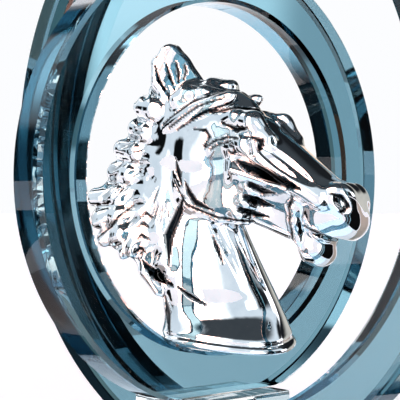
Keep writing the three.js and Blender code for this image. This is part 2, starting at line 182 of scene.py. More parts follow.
def ring_tree():
    """A chamfered bar of plate carried round a circle, stood on edge and ground flat at the foot."""
    tree = bpy.data.node_groups.new("crystal_ring", "GeometryNodeTree")
    face = tree.interface
    face.new_socket("Geometry", in_out="OUTPUT", socket_type="NodeSocketGeometry")
    for name in ("Radius", "Hole", "Thickness", "Chamfer", "Foot Height"):
        face.new_socket(name, in_out="INPUT", socket_type="NodeSocketFloat")
    face.new_socket("Steps", in_out="INPUT", socket_type="NodeSocketInt")
    face.new_socket("Turn", in_out="INPUT", socket_type="NodeSocketVector")
    face.new_socket("Centre", in_out="INPUT", socket_type="NodeSocketVector")
    face.new_socket("Material", in_out="INPUT", socket_type="NodeSocketMaterial")
    size = tree.nodes.new("NodeGroupInput").outputs
    both = add_node(tree, "ShaderNodeMath", {}, {0: size["Radius"], 1: size["Hole"]}, operation="ADD")
    middle = add_node(tree, "ShaderNodeMath", {1: 0.5}, {0: both.outputs[0]}, operation="MULTIPLY")
    width = add_node(tree, "ShaderNodeMath", {}, {0: size["Radius"], 1: size["Hole"]}, operation="SUBTRACT")
    path = add_node(tree, "GeometryNodeCurvePrimitiveCircle", {},
                    {"Resolution": size["Steps"], "Radius": middle.outputs[0]})
    bar = add_node(tree, "GeometryNodeCurvePrimitiveQuadrilateral", {},
                   {"Width": width.outputs[0], "Height": size["Thickness"]})
    cut = add_node(tree, "GeometryNodeFilletCurve", {"Count": 1},
                   {"Curve": bar.outputs["Curve"], "Radius": size["Chamfer"]}, mode="POLY")
    sweep = add_node(tree, "GeometryNodeCurveToMesh", {},
                     {"Curve": path.outputs["Curve"], "Profile Curve": cut.outputs["Curve"]})
    normal = tree.nodes.new("GeometryNodeInputNormal")
    axial = add_node(tree, "ShaderNodeVectorMath", {1: (0, 0, 1)}, {0: normal.outputs["Normal"]},
                     operation="DOT_PRODUCT")
    slope = add_node(tree, "ShaderNodeMath", {}, {0: axial.outputs["Value"]}, operation="ABSOLUTE")
    flat = add_node(tree, "ShaderNodeMath", {1: 0.3}, {0: slope.outputs[0]}, operation="LESS_THAN")
    marked = add_node(tree, "GeometryNodeStoreNamedAttribute", {"Name": "rim"},
                      {"Geometry": sweep.outputs["Mesh"], "Value": flat.outputs[0]},
                      data_type="FLOAT", domain="FACE")
    stood = add_node(tree, "GeometryNodeTransform", {},
                     {"Geometry": marked.outputs["Geometry"], "Rotation": size["Turn"],
                      "Translation": size["Centre"]})
    spot = tree.nodes.new("GeometryNodeInputPosition")
    split = add_node(tree, "ShaderNodeSeparateXYZ", {}, {"Vector": spot.outputs["Position"]})
    level = add_node(tree, "ShaderNodeMath", {}, {0: split.outputs["Z"], 1: size["Foot Height"]},
                     operation="MAXIMUM")
    kept = add_node(tree, "ShaderNodeCombineXYZ", {},
                    {"X": split.outputs["X"], "Y": split.outputs["Y"], "Z": level.outputs[0]})
    ground = add_node(tree, "GeometryNodeSetPosition", {},
                      {"Geometry": stood.outputs["Geometry"], "Position": kept.outputs["Vector"]})
    whole = add_node(tree, "GeometryNodeRealizeInstances", {}, {"Geometry": ground.outputs["Geometry"]})
    coat = add_node(tree, "GeometryNodeSetMaterial", {},
                    {"Geometry": whole.outputs["Geometry"], "Material": size["Material"]})
    out = tree.nodes.new("NodeGroupOutput")
    tree.links.new(coat.outputs["Geometry"], out.inputs["Geometry"])
    return tree


RING_TREE = ring_tree()


def ring_piece(name, node, radius, hole, axis):
    """A ring on its CAD node's place: its foot and its middle come from that node's box."""
    low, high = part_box(node)
    sizes = {"Radius": radius, "Hole": hole, "Thickness": PLATE, "Chamfer": RING_CHAMFER,
             "Foot Height": low.z, "Steps": RING_STEPS, "Centre": (0.0, 0.0, high.z - radius),
             "Turn": (0.0, math.pi / 2, 0.0) if axis == "X" else (math.pi / 2, 0.0, 0.0),
             "Material": SMOKY_CRYSTAL}
    piece = mesh_object(name, [], [], SMOKY_CRYSTAL)
    maker = piece.modifiers.new("ring", "NODES")
    maker.node_group = RING_TREE
    for socket in RING_TREE.interface.items_tree:
        if socket.in_out == "INPUT":
            maker[socket.identifier] = sizes[socket.name]
    view = piece.evaluated_get(bpy.context.evaluated_depsgraph_get())
    finished = bpy.data.meshes.new_from_object(view)
    piece.modifiers.clear()
    piece.data = finished
    whole = bmesh.new()
    whole.from_mesh(finished)
    bmesh.ops.remove_doubles(whole, verts=whole.verts, dist=1e-7)
    bmesh.ops.recalc_face_normals(whole, faces=whole.faces)
    whole.to_mesh(finished)
    whole.free()
    finished.shade_smooth()
    finished.set_sharp_from_angle(angle=math.radians(20))
    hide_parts(node)
    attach(piece, "root")


ring_piece("outer_ring_plate", "outer_ring", OUTER_RADIUS, OUTER_HOLE, "X")


# Pad
# A small clear crystal spacer between the two rings, polished flat on top.
# Its underside is ground hollow to sit in the large ring, and clear bonding holds it there.

pad_low, pad_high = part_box("pad")
OUTER_SEAT = 0.0939
OUTER_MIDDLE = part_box("outer_ring")[1].z - OUTER_RADIUS
PAD_STEPS = 24
pad_verts = []
for i in range(PAD_STEPS + 1):
    y = pad_low.y + (pad_high.y - pad_low.y) * i / PAD_STEPS
    seat = OUTER_MIDDLE - math.sqrt(OUTER_SEAT ** 2 - y ** 2)
    for x in (pad_low.x, pad_high.x):
        pad_verts.append((x, y, max(seat, pad_low.z)))
        pad_verts.append((x, y, pad_high.z))
pad_faces = [(1, 3, 2, 0)]
last = 4 * PAD_STEPS
pad_faces.append((last, last + 2, last + 3, last + 1))
for i in range(PAD_STEPS):
    a = 4 * i
    b = a + 4
    pad_faces += [(a, a + 2, b + 2, b), (a + 1, b + 1, b + 3, a + 3)]
    pad_faces += [(a, b, b + 1, a + 1), (a + 2, a + 3, b + 3, b + 2)]
pad = mesh_object("pad_spacer", pad_verts, pad_faces, CLEAR_CRYSTAL)
block = bmesh.new()
block.from_mesh(pad.data)
bmesh.ops.recalc_face_normals(block, faces=block.faces)
bmesh.ops.dissolve_limit(block, angle_limit=math.radians(0.05), verts=block.verts, edges=block.edges)
block.to_mesh(pad.data)
block.free()
polish_edges(pad, ARRIS)
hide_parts("pad")
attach(pad, "root")


# Inner ring
# The small ring, of the same smoky blue plate and finish, turned a quarter so that it crosses the large one.
# A short flat ground on its bottom stands on the pad, and the bust is bonded inside it.

INNER_RADIUS, INNER_HOLE = 0.0800, 0.0608
ring_piece("inner_ring_plate", "inner_ring", INNER_RADIUS, INNER_HOLE, "Y")
INNER_MIDDLE = (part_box("inner_ring")[1].z - INNER_RADIUS) * 1000


# Horse head
# A bust of a horse with a flying mane, cast from a hand-carved model and mirror plated all over.
# Its foot is ground to the small ring's hole and bonded there, so it stands inside the ring.
# Its forms below are rounded bodies in millimetres: u forward to the muzzle, v to one side (both sides are
# alike), z up from the ring's middle; join and carve blend one body into the next over a width.

def join(a, b, k):
    h = np.maximum(k - np.abs(a - b), 0) / k
    return np.minimum(a, b) - 0.25 * h * h * k


def carve(a, b, k):
    return -join(-a, b, k)


def ball(p, c, r):
    return np.sqrt((p[0] - c[0]) ** 2 + (p[1] - c[1]) ** 2 + (p[2] - c[2]) ** 2) - r


def egg(p, c, r, pitch=0.0, yaw=0.0):
    x, y, z = p[0] - c[0], p[1] - c[1], p[2] - c[2]
    s, q = math.sin(math.radians(yaw)), math.cos(math.radians(yaw))
    x, y = q * x + s * y, q * y - s * x
    s, q = math.sin(math.radians(pitch)), math.cos(math.radians(pitch))
    x, z = q * x + s * z, q * z - s * x
    k0 = np.sqrt((x / r[0]) ** 2 + (y / r[1]) ** 2 + (z / r[2]) ** 2)
    k1 = np.sqrt((x / r[0] ** 2) ** 2 + (y / r[1] ** 2) ** 2 + (z / r[2] ** 2) ** 2)
    return k0 * (k0 - 1) / np.maximum(k1, 1e-6)


def cone(p, a, b):
    dx, dy, dz = b[0] - a[0], b[1] - a[1], b[2] - a[2]
    x, y, z = p[0] - a[0], p[1] - a[1], p[2] - a[2]
    t = np.clip((x * dx + y * dy + z * dz) / (dx * dx + dy * dy + dz * dz), 0, 1)
    gap = np.sqrt((x - t * dx) ** 2 + (y - t * dy) ** 2 + (z - t * dz) ** 2)
    return gap - (a[3] + (b[3] - a[3]) * t)


def chain(p, stations, k):
    d = cone(p, stations[0], stations[1])
    for a, b in zip(stations[1:], stations[2:]):
        d = join(d, cone(p, a, b), k)
    return d


def flat_cone(p, a, b):
    """A bar with a flat of its own half width between two rounded edges: u, z, edge radius, flat."""
    dx, dz = b[0] - a[0], b[1] - a[1]
    x, z = p[0] - a[0], p[2] - a[1]
    t = np.clip((x * dx + z * dz) / (dx * dx + dz * dz), 0, 1)
    y = np.maximum(p[1] - (a[3] + (b[3] - a[3]) * t), 0)
    return np.sqrt((x - t * dx) ** 2 + y * y + (z - t * dz) ** 2) - (a[2] + (b[2] - a[2]) * t)


def pebble(p, c, r, n):
    """A rounded block: an egg whose sides are flatter the higher n is."""
    x, y, z = (np.abs(p[k] - c[k]) / r[k] for k in range(3))
    k0 = np.maximum((x ** n + y ** n + z ** n) ** (1 / n), 1e-4)
    m = n - 1
    k1 = np.sqrt((x ** m / r[0]) ** 2 + (y ** m / r[1]) ** 2 + (z ** m / r[2]) ** 2) / k0 ** m
    return (k0 - 1) / np.maximum(k1, 1e-4)


def facet(p, n, c):
    return n[0] * p[0] + n[1] * p[1] + n[2] * p[2] - c


# neck sections from the foot up: height, middle, half length and half width
NECK_SECTIONS = np.array([
    (-72, 8.4, 26.8, 17), (-60, 6.1, 24.2, 17), (-56, 5.3, 23.2, 16.4), (-47, 3.4, 21.2, 11.2),
    (-38, 1.2, 19.0, 10.6), (-25, -3.2, 16.4, 9.8), (-14, -6.0, 14.2, 9.4), (2, -5.5, 14.4, 9.6),
    (16, -4.0, 12.0, 9.8), (28, -1.0, 8.0, 7.0), (36, 0.0, 5.0, 5.0)])


def section_at(z, column):
    heights, values = NECK_SECTIONS[:, 0], NECK_SECTIONS[:, column]
    slope = np.gradient(values)
    slope[1:-1] = (values[2:] - values[:-2]) / (heights[2:] - heights[:-2])
    slope[0] = (values[1] - values[0]) / (heights[1] - heights[0])
    slope[-1] = (values[-1] - values[-2]) / (heights[-1] - heights[-2])
    i = np.clip(np.searchsorted(heights, z) - 1, 0, len(heights) - 2)
    h = heights[i + 1] - heights[i]
    t = np.clip((z - heights[i]) / h, 0, 1)
    s = t * t * (3 - 2 * t)
    rise = t * (1 - t) ** 2 * h * slope[i] - t * t * (1 - t) * h * slope[i + 1]
    return values[i] * (1 - s) + values[i + 1] * s + rise


def neck_form(p):
    a, w = section_at(p[2], 2), section_at(p[2], 3)
    x, y = np.abs(p[0] - section_at(p[2], 1)) / a, np.abs(p[1]) / w
    n = 2.6
    k0 = (x ** n + y ** n) ** (1 / n)
    k1 = np.sqrt((x ** (n - 1) / a) ** 2 + (y ** (n - 1) / w) ** 2) / np.maximum(k0, 1e-4) ** (n - 1)
    d = np.clip((k0 - 1) / np.maximum(k1, 1e-4), -14, 60)
    d = carve(d, 31 - p[2], 4)
    # crest muscle from the poll to the withers
    d = join(d, chain(p, [(-9, 4.2, 22, 5.4), (-13.5, 4, 8, 5.6), (-16.5, 4, -6, 5.8), (-17, 3.8, -18, 5.6),
                          (-15.5, 3.6, -30, 5)], 2), 4)
    # windpipe with the groove beside its upper part
    d = join(d, cone(p, (5.4, 0, -14, 4.6), (26.9, 0, -70, 6.9)), 2.5)
    d = carve(d, chain(p, [(4.6, 7.8, -16, 1.4), (9.2, 9.0, -26, 1.3), (13.4, 10.2, -36, 0.5)], 0.5), 1.6)
    # hollow under the mane's end
    d = carve(d, chain(p, [(-27, 7, -38, 4), (-22.5, 8.5, -48, 3), (-17.5, 11, -68, 2.6)], 1), 2.5)
    return np.maximum(d, -68 - p[2])


def head_form(p):
    # skull and temple
    d = egg(p, (6.5, 0, 15.6), (14.5, 12, 13.4))
    d = join(d, egg(p, (-1, 7.2, 12), (11, 4.6, 11)), 3)
    # flat face from the forehead to the nose, hollow along its sides
    crown = (p[0], p[1], p[2] + p[1] ** 2 / 44)
    d = join(d, flat_cone(crown, (10, 15.8, 6.8, 5), (20, 15.2, 4.6, 9)), 3)
    d = join(d, flat_cone(crown, (20, 15.4, 4.8, 9.8), (45, -4.4, 4.2, 8.4)), 2.5)
    d = carve(d, egg(p, (36.6, 17.2, 4), (15.5, 8.8, 3.1), -34), 1)
    # muzzle, lower face, jaw and chin
    d = join(d, pebble(p, (48.4, 0, -11), (8.6, 9.2, 9.6), 2.8), 3)
    d = join(d, cone(p, (20, 0, -1, 8.2), (42, 0, -13, 7.2)), 4)
    d = join(d, ball(p, (48, 0, -16), 6), 3)
    d = join(d, cone(p, (12, 0, -5.5, 8.6), (37, 0, -20.5, 4.8)), 3.5)
    d = join(d, egg(p, (38, 0, -25), (6.6, 6.2, 6)), 2.5)
    # cheekbone: a long ledge under the hollow of the face
    ledge = carve(facet(p, (0.24, 0.79, 0.564), 16.6), -facet(p, (-0.1, 0.784, -0.607), 8.7), 1)
    for end in (facet(p, (0.64, 0, 0.77), 24.5), p[0] - 41, 14 - p[0]):
        ledge = carve(ledge, -end, 2)
    d = join(d, ledge, 1)
    # round cheek with three soft folds on its front edge and a rim along the jowl
    d = join(d, pebble(p, (4, 5.6, -0.2), (16, 6.6, 14.6), 2.9), 3)
    for u, v, z, r in ((19.6, 7.8, -3.4, 4), (17, 7.4, -8, 4), (13.4, 6.8, -12.2, 3.8)):
        d = join(d, ball(p, (u, v, z), r), 1.6)
    d = join(d, chain(p, [(-10.2, 8.4, -0.6, 1), (-5, 9.2, -9.6, 1.5), (6, 8.2, -14, 1.7), (16, 6, -15.4, 1.2)],
                      2), 1.2)
    # brow, with the crease above it and the one below
    d = join(d, chain(p, [(7, 8, 18.6, 2.4), (15, 9.6, 20, 3), (22, 10, 18.2, 3.5), (28, 9.6, 12.8, 2.4)], 3), 3)
    d = carve(d, chain(p, [(17, 6.6, 23.4, 1), (24.5, 6.6, 20, 1.2), (29, 7.6, 15, 0.8)], 1), 1.2)
    d = carve(d, chain(p, [(8.5, 14.2, 17.2, 1.2), (16.4, 15, 15.4, 1.6), (22.4, 14.2, 14.2, 0.8)], 1), 1.6)
    # dimple ahead of the eye
    d = carve(d, chain(p, [(23.5, 13.2, 11.6, 0.8), (24.4, 13, 7.6, 1.2)], 1), 1.2)
    # eyeball and upper lid
    d = join(d, ball(p, (15, 10, 9.4), 3), 2)
    d = join(d, chain(p, [(4.4, 11.4, 9.6, 0.4), (8.5, 12.2, 12, 0.5), (13.6, 12.4, 13.2, 0.6), (18.4, 12, 12.4, 0.4)],
                      0.5), 1)
    # lips and the raised fold behind them
    d = join(d, egg(p, (43, 4.2, -14.2), (6.8, 5.4, 7.4)), 2)
    d = join(d, chain(p, [(37.6, 7.6, -6.4, 1), (34.8, 7.4, -10.6, 1.5), (33.4, 6.4, -15.4, 1.5),
                          (32.8, 4.6, -21.5, 1.2), (34.4, 2.6, -27.4, 1)], 2), 2)
    # nostril and mouth
    d = join(d, egg(p, (51.6, 6, -7.6), (5.4, 4, 5.6), 0, -25), 1.5)
    d = carve(d, egg(p, (53.8, 10.4, -8.6), (2.6, 3, 3.8), 30, -35), 0.9)
    d = carve(d, egg(p, (48.5, 0, -21.9), (11.5, 14, 0.8), -17), 0.8)
    # ears, laid back and long
    return join(d, egg(p, (0, 8.8, 22.8), (15.6, 3.2, 4.2), 20), 1)


# mane: root, middle and tip of each lock
MANE_LOCKS = [
    [(-10.3, 1.5, 32.5, 5.6), (-14.8, 1.6, 38.6, 5), (-18.4, 1.2, 44, 4)],
    [(-15.5, 3, 29.5, 5), (-19.4, 3.2, 35, 4.6), (-21.4, 2.6, 40.6, 3.6)],
    [(-14.5, 3.4, 22.5, 5.4), (-21.5, 4, 24, 5.4), (-27.2, 3.2, 25, 4.9)],
    [(-19, 3.6, 14, 4.8), (-25, 4.4, 15.6, 4.4), (-31.2, 3, 17.6, 3.8)],
    [(-21, 3.8, 7, 4.8), (-29, 4.6, 8.6, 4.4), (-37.4, 3, 10.2, 4)],
    [(-24, 3.8, 0, 4.8), (-32, 4.6, 1, 4.4), (-40.2, 3, 2, 4)],
    [(-25, 3.8, -5.5, 4.8), (-36, 4.6, -6.6, 4.4), (-48.4, 3, -7.2, 3.6)],
    [(-26, 3.8, -11, 4.8), (-35, 4.6, -13.2, 4.4), (-44.8, 3, -14.9, 4)],
    [(-26, 3.8, -16.5, 4.8), (-33, 4.4, -19.6, 4.2), (-40.4, 3, -22, 3.8)],
    [(-25, 3.6, -21, 4.4), (-29, 4, -24.6, 3.8), (-32.4, 3, -26.6, 3.2)],
]


def strand_cuts(p):
    """Short combed cuts that spread from the crest: lanes by angle, broken up along their length."""
    du, dz = p[0] + 5, p[2] - 9
    reach, fan = np.sqrt(du * du + dz * dz), np.arctan2(dz, -du)
    way = fan + 0.05 * np.sin(reach * 0.24 + 5 * fan)
    total = 0
    for lanes, shift, beat, step in ((26, 0.0, 0.36, 5.1), (26, 3.14, 0.42, 8.5)):
        lane = np.cos(lanes * way + shift)
        row = np.round((lanes * way + shift) / (2 * np.pi))
        along = np.sin(beat * reach + step * row)
        cut = np.clip((lane - 0.2) / 0.8, 0, 1)
        part = np.clip(along + 0.2, 0, 1.2) / 1.2
        total = total + cut * cut * (3 - 2 * cut) * part
    clear = np.clip((39 - p[2]) / 6, 0, 1) * np.clip((-10 - p[0]) / 6, 0, 1) * np.clip((reach - 16) / 7, 0, 1)
    return 0.6 * clear * total


def mane_form(p):
    # forelock
    d = chain(p, [(-8, 2, 29, 4.2), (0, 1.2, 31, 3.9), (6.6, 0.4, 31.2, 3)], 1.5)
    d = join(d, chain(p, [(2, 3, 28, 3.6), (9.5, 1.6, 26.8, 2.8), (13.6, 0.6, 24.8, 2)], 1.5), 1)
    d = join(d, chain(p, [(7, 5, 28.6, 1.6), (0, 6.4, 29.6, 2.2), (-7, 6.6, 28.8, 3.6), (-9.4, 6.4, 27, 4.4)], 1.5), 1)
    # crest of the neck and the thick fan that the locks lie on
    d = join(d, chain(p, [(-8, 0, 26, 7.4), (-15, 0, 17, 8.8), (-19.6, 0, 5, 9.4), (-22.8, 0, -8, 9.2),
                          (-24, 0, -20, 8), (-24, 0, -28, 5.6)], 2), 2)
    d = join(d, chain(p, [(-20.5, 0, 31.5, 5.6), (-25.5, 0, 24.5, 5.6), (-29, 0, 17.5, 5), (-34, 0, 10, 5),
                          (-37.4, 0, 2.5, 5), (-43, 0, -6, 4.8), (-42, 0, -14, 4.8), (-38, 0, -20.5, 4.6),
                          (-31.5, 0, -25.2, 4)], 2), 3)
    d = join(d, cone(p, (-31, 0, 4, 5.5), (-32, 0, -17, 5.5)), 3)
    for lock in MANE_LOCKS[2:]:
        d = join(d, chain(p, lock, 1.5), 1.6)
    # top tuft, flat like a leaf, with a thin front edge
    tuft = cone(p, (-16.6, 0, 39, 5.8), (-20.5, 0, 31.5, 5.6))
    for lock in MANE_LOCKS[:2]:
        tuft = join(tuft, chain(p, lock, 1.5), 1.6)
    d = join(d, carve(tuft, -facet(p, (0.35, 0.9, 0.25), 8), 1), 1.6)
    return join(d, chain(p, [(-22, 3, -26, 4.5), (-23, 3, -33, 3.6), (-19, 3.4, -40, 2.2)], 1), 2)


# lines engraved in both sides of the casting: stations of length, height and half width
ENGRAVED = [
    # behind the cheek, on the jowl and below it
    [(-5.4, -7, 0.4), (-9.2, -12.6, 1.9), (-13.2, -20.4, 2.1), (-13.6, -31, 0.4)],
    [(-8.8, 6, 0.4), (-7.8, 1.7, 1.6), (-6, -3, 0.4)],
    [(-4.4, -1.6, 0.4), (-3, -5.6, 1.4), (-0.8, -9, 1.5), (5.2, -11.4, 0.4)],
    [(-9.9, -1.2, 0.4), (-4.5, -9.8, 0.6), (6.6, -14, 0.7), (17.8, -15.2, 0.4)],
    [(3.4, -20.6, 0.4), (4.8, -25, 1), (6.3, -29.8, 0.4)],
    # folds ahead of the cheek
    [(21.4, -2.8, 1.5), (25, -4.6, 1.9), (30, -5.4, 0.4)],
    [(18.6, -7, 1.5), (22.4, -8.8, 1.9), (27, -9.8, 0.4)],
    [(15.6, -11.2, 1.4), (19.2, -12.6, 1.6), (24, -13.6, 0.4)],
    # painted shade under the cheekbone: a broad shallow line whose dark colour stands in for the dark reflection
    # across the cheekbone
    [(17.2, 5.4, 0.8), (22.5, 3, 2.2), (29, 0.6, 2.6), (35.5, -2.2, 2.4), (40.5, -4, 0.8)],
    # lids, iris, temple, dimple and brow
    [(4.1, 9.9, 0.4), (8.5, 12.2, 0.6), (14.1, 13.4, 0.6), (18.6, 12.7, 0.4)],
    [(6.4, 9.3, 0.4), (10, 11, 0.5), (14, 11.8, 0.5)],
    [(15, 10.6, 0.4), (16.8, 10, 0.5), (17, 8.4, 0.5), (15.6, 7.6, 0.5), (14.4, 8.6, 0.4)],
    [(-0.7, 16.5, 0.4), (4.3, 16.1, 0.8), (6.3, 13.6, 0.7), (3.9, 10.6, 0.4)],
    [(22.6, 13.4, 0.5), (26.8, 11.9, 1.3), (25.4, 7.2, 0.5)],
    [(5.6, 22, 0.4), (14.3, 23.4, 0.9), (21.1, 23.2, 0.5)],
    [(11, 18.3, 0.4), (17.4, 15.7, 1.1), (22.2, 16.3, 0.5)],
    # lips, mouth and nostril
    [(36.4, -6.4, 0.5), (33.6, -9.7, 0.8), (32, -14.5, 0.9), (31.2, -21.3, 0.8), (33.4, -28, 0.4)],
    [(36.8, -16.4, 0.4), (41.3, -18.4, 0.7), (46.5, -21.1, 0.7), (52, -22.6, 0.5)],
    [(50, -5.4, 0.5), (53.2, -6.6, 0.9), (54, -9.4, 1.1), (52, -11.8, 0.6)],
    # hair swept back over the ear, and the strokes in the top tuft
    [(10.2, 29.2, 0.4), (-2.4, 26.1, 0.8), (-15.1, 18.4, 0.4)],
    [(11, 27, 0.4), (0.6, 24.2, 0.7), (-12, 17.2, 0.4)],
    [(12.3, 24.9, 0.4), (3.2, 22, 0.9), (-8.6, 16.4, 0.4)],
    [(-21.4, 40, 0.4), (-19.4, 35, 0.8), (-16.6, 31, 0.4)],
    [(-17.6, 40.5, 0.4), (-16, 36.4, 0.8), (-14, 33, 0.4)],
    [(-14.4, 41, 0.4), (-13, 37.4, 0.8), (-12.4, 34, 0.4)],
    [(-11.2, 40, 0.4), (-10.4, 37.4, 0.7), (-10.8, 35, 0.4)],
    # end of the mane
    [(-28.4, -10.1, 0.4), (-36, -16.6, 0.8), (-42.8, -22.2, 0.4)],
    [(-24.4, -29.6, 0.5), (-20.1, -34.4, 2), (-12.8, -37.9, 0.9)],
    [(-10.4, -38.4, 0.5), (-5.6, -41.4, 1.2), (-0.4, -44.2, 0.4)],
    [(-16, -42, 0.5), (-14.6, -48, 1.7), (-12.9, -54, 0.5)],
]
# four small chevrons down the crest
for u, z in ((-22.6, -12.8), (-23.6, -16.4), (-23.8, -20.6), (-25.2, -25.4)):
    ENGRAVED.append([(u - 2.2, z - 1.5, 0.3), (u, z, 0.8), (u + 2.2, z - 1.3, 0.3)])


def engraving(p):
    """How deep the lines are cut at each point, and how near each point is to the bottom of one."""
    depth, shade = np.zeros_like(p[0]), np.zeros_like(p[0])
    for line in ENGRAVED:
        for a, b in zip(line[:-1], line[1:]):
            du, dz, x, z = b[0] - a[0], b[1] - a[1], p[0] - a[0], p[2] - a[1]
            t = np.clip((x * du + z * dz) / (du * du + dz * dz), 0, 1)
            wide = np.maximum(a[2] + (b[2] - a[2]) * t, 0.55)
            inside = np.clip(1 - ((x - t * du) ** 2 + (z - t * dz) ** 2) / wide ** 2, 0, 1)
            depth = np.maximum(depth, 0.4 * wide * inside)
            shade = np.maximum(shade, inside)
    return depth, shade


HEAD_TURN, NECK_TURN = math.radians(-76), math.radians(-56)


def turn_at(z):
    t = np.clip((z + 45) / 50, 0, 1)
    return NECK_TURN + (HEAD_TURN - NECK_TURN) * t * t * (3 - 2 * t)


FOOT_RADIUS = 60.5


def horse_form(u, v, z):
    p = (u, np.abs(v), z)
    d = join(join(neck_form(p), head_form(p), 1.6), mane_form(p), 2.5) + strand_cuts(p) + engraving(p)[0]
    # the foot follows the ring's hole, with a shallow line worked just above it
    angle = turn_at(z)
    across = np.cos(angle) * u - np.sin(angle) * v
    above = FOOT_RADIUS - np.sqrt(across ** 2 + np.minimum(z, 0) ** 2)
    d = d + 0.55 * np.exp(-((above - 3.0) / 0.9) ** 2) * (z < -40)
    return carve(d, above, 1.2)


def skin_of(form, low, high, cell):
    """A fine skin over a form: one corner in each grid cell that the surface crosses, moved onto the form."""
    low, count = np.array(low, float), np.ceil((np.array(high) - low) / (4 * cell)).astype(int)
    lines = [low[k] + np.arange(count[k] + 1) * 4 * cell for k in range(3)]
    rough = form(*np.meshgrid(*lines, indexing="ij"))
    near = np.abs(rough) < 9 * cell
    block = np.zeros(count, bool)
    corners = [(a, b, c) for a in (0, 1) for b in (0, 1) for c in (0, 1)]
    for a, b, c in corners:
        block |= near[a:a + count[0], b:b + count[1], c:c + count[2]]
    lot = 4 * count + 1
    value = np.where(rough[:-1, :-1, :-1] < 0, -9.0, 9.0).repeat(4, 0).repeat(4, 1).repeat(4, 2)
    value = np.pad(value, (0, 1), mode="edge")
    todo = np.pad(block.repeat(4, 0).repeat(4, 1).repeat(4, 2), (0, 1), mode="edge")
    for k in range(3):
        ahead = np.zeros_like(todo)
        to, fro = [slice(None)] * 3, [slice(None)] * 3
        to[k], fro[k] = slice(1, None), slice(None, -1)
        ahead[tuple(to)] = todo[tuple(fro)]
        todo |= ahead
    i, j, k = np.nonzero(todo)
    value[i, j, k] = form(low[0] + i * cell, low[1] + j * cell, low[2] + k * cell)
    solid = value < 0
    kinds = [solid[a:a + lot[0] - 1, b:b + lot[1] - 1, c:c + lot[2] - 1] for a, b, c in corners]
    amount = np.sum(kinds, axis=0)
    cells = np.array(np.nonzero((amount > 0) & (amount < 8))).T
    number = -np.ones(lot - 1, int)
    number[tuple(cells.T)] = np.arange(len(cells))
    total, hits = np.zeros((len(cells), 3)), np.zeros((len(cells), 1))
    for a in corners:
        for axis in range(3):
            if a[axis]:
                continue
            b = tuple(1 if m == axis else a[m] for m in range(3))
            va, vb = value[tuple((cells + a).T)], value[tuple((cells + b).T)]
            cross = (va < 0) != (vb < 0)
            t = np.where(cross, va / np.where(cross, va - vb, 1), 0)[:, None]
            total += np.where(cross[:, None], np.array(a) + t * (np.array(b) - a), 0)
            hits += cross[:, None]
    points = low + (cells + total / hits) * cell
    faces = []
    for axis in range(3):
        b, c = (axis + 1) % 3, (axis + 2) % 3
        here, there = [slice(1, -1)] * 3, [slice(1, -1)] * 3
        there[axis] = slice(2, None)
        change = solid[tuple(here)] != solid[tuple(there)]
        spots = np.array(np.nonzero(change)).T + 1
        quad = []
        for x, y in ((0, 0), (1, 0), (1, 1), (0, 1)):
            spot = spots.copy()
            spot[:, b] -= x
            spot[:, c] -= y
            quad.append(number[tuple(spot.T)])
        quad = np.array(quad).T
        outward = solid[tuple(spots.T)]
        faces.append(np.where(outward[:, None], quad, quad[:, ::-1]))
    faces = np.concatenate(faces)
    start = points.copy()
    for _ in range(4):
        d, slope = form(*points.T), slope_of(form, points)
        size = np.maximum((slope ** 2).sum(1), 0.3)
        points = points - 0.9 * (d / size)[:, None] * slope
        points = np.clip(points, start - 0.6 * cell, start + 0.6 * cell)
    return points, faces, slope_of(form, points)


def slope_of(form, points):
    e = 0.06
    slope = np.empty_like(points)
    for m in range(3):
        step = np.zeros(3)
        step[m] = e
        slope[:, m] = (form(*(points + step).T) - form(*(points - step).T)) / (2 * e)
    return slope


def largest_skin(points, faces, slope):
    """Keeps the one outer skin and drops any closed pocket inside it."""
    label = np.arange(len(points))
    while True:
        low = label[faces].min(1)
        new = label.copy()
        for m in range(4):
            np.minimum.at(new, faces[:, m], low)
        new = new[new]
        if (new == label).all():
            break
        label = new
    names, counts = np.unique(label, return_counts=True)
    keep = label == names[counts.argmax()]
    renumber = np.cumsum(keep) - 1
    return points[keep], renumber[faces[keep[faces[:, 0]]]], slope[keep]


def turned(points, slope, lift):
    """The twist of the neck, applied to the skin's points and to the slope of the form at each."""
    z = points[:, 2]
    angle, rate = turn_at(z), (turn_at(z + 0.1) - turn_at(z - 0.1)) / 0.2
    c, s = np.cos(angle), np.sin(angle)
    u, v, su, sv = points[:, 0], points[:, 1], slope[:, 0], slope[:, 1]
    place = np.stack([c * u - s * v, s * u + c * v, z + lift], 1)
    facing = np.stack([c * su - s * sv, s * su + c * sv, slope[:, 2] + rate * (v * su - u * sv)], 1)
    return place, facing / np.linalg.norm(facing, axis=1)[:, None]


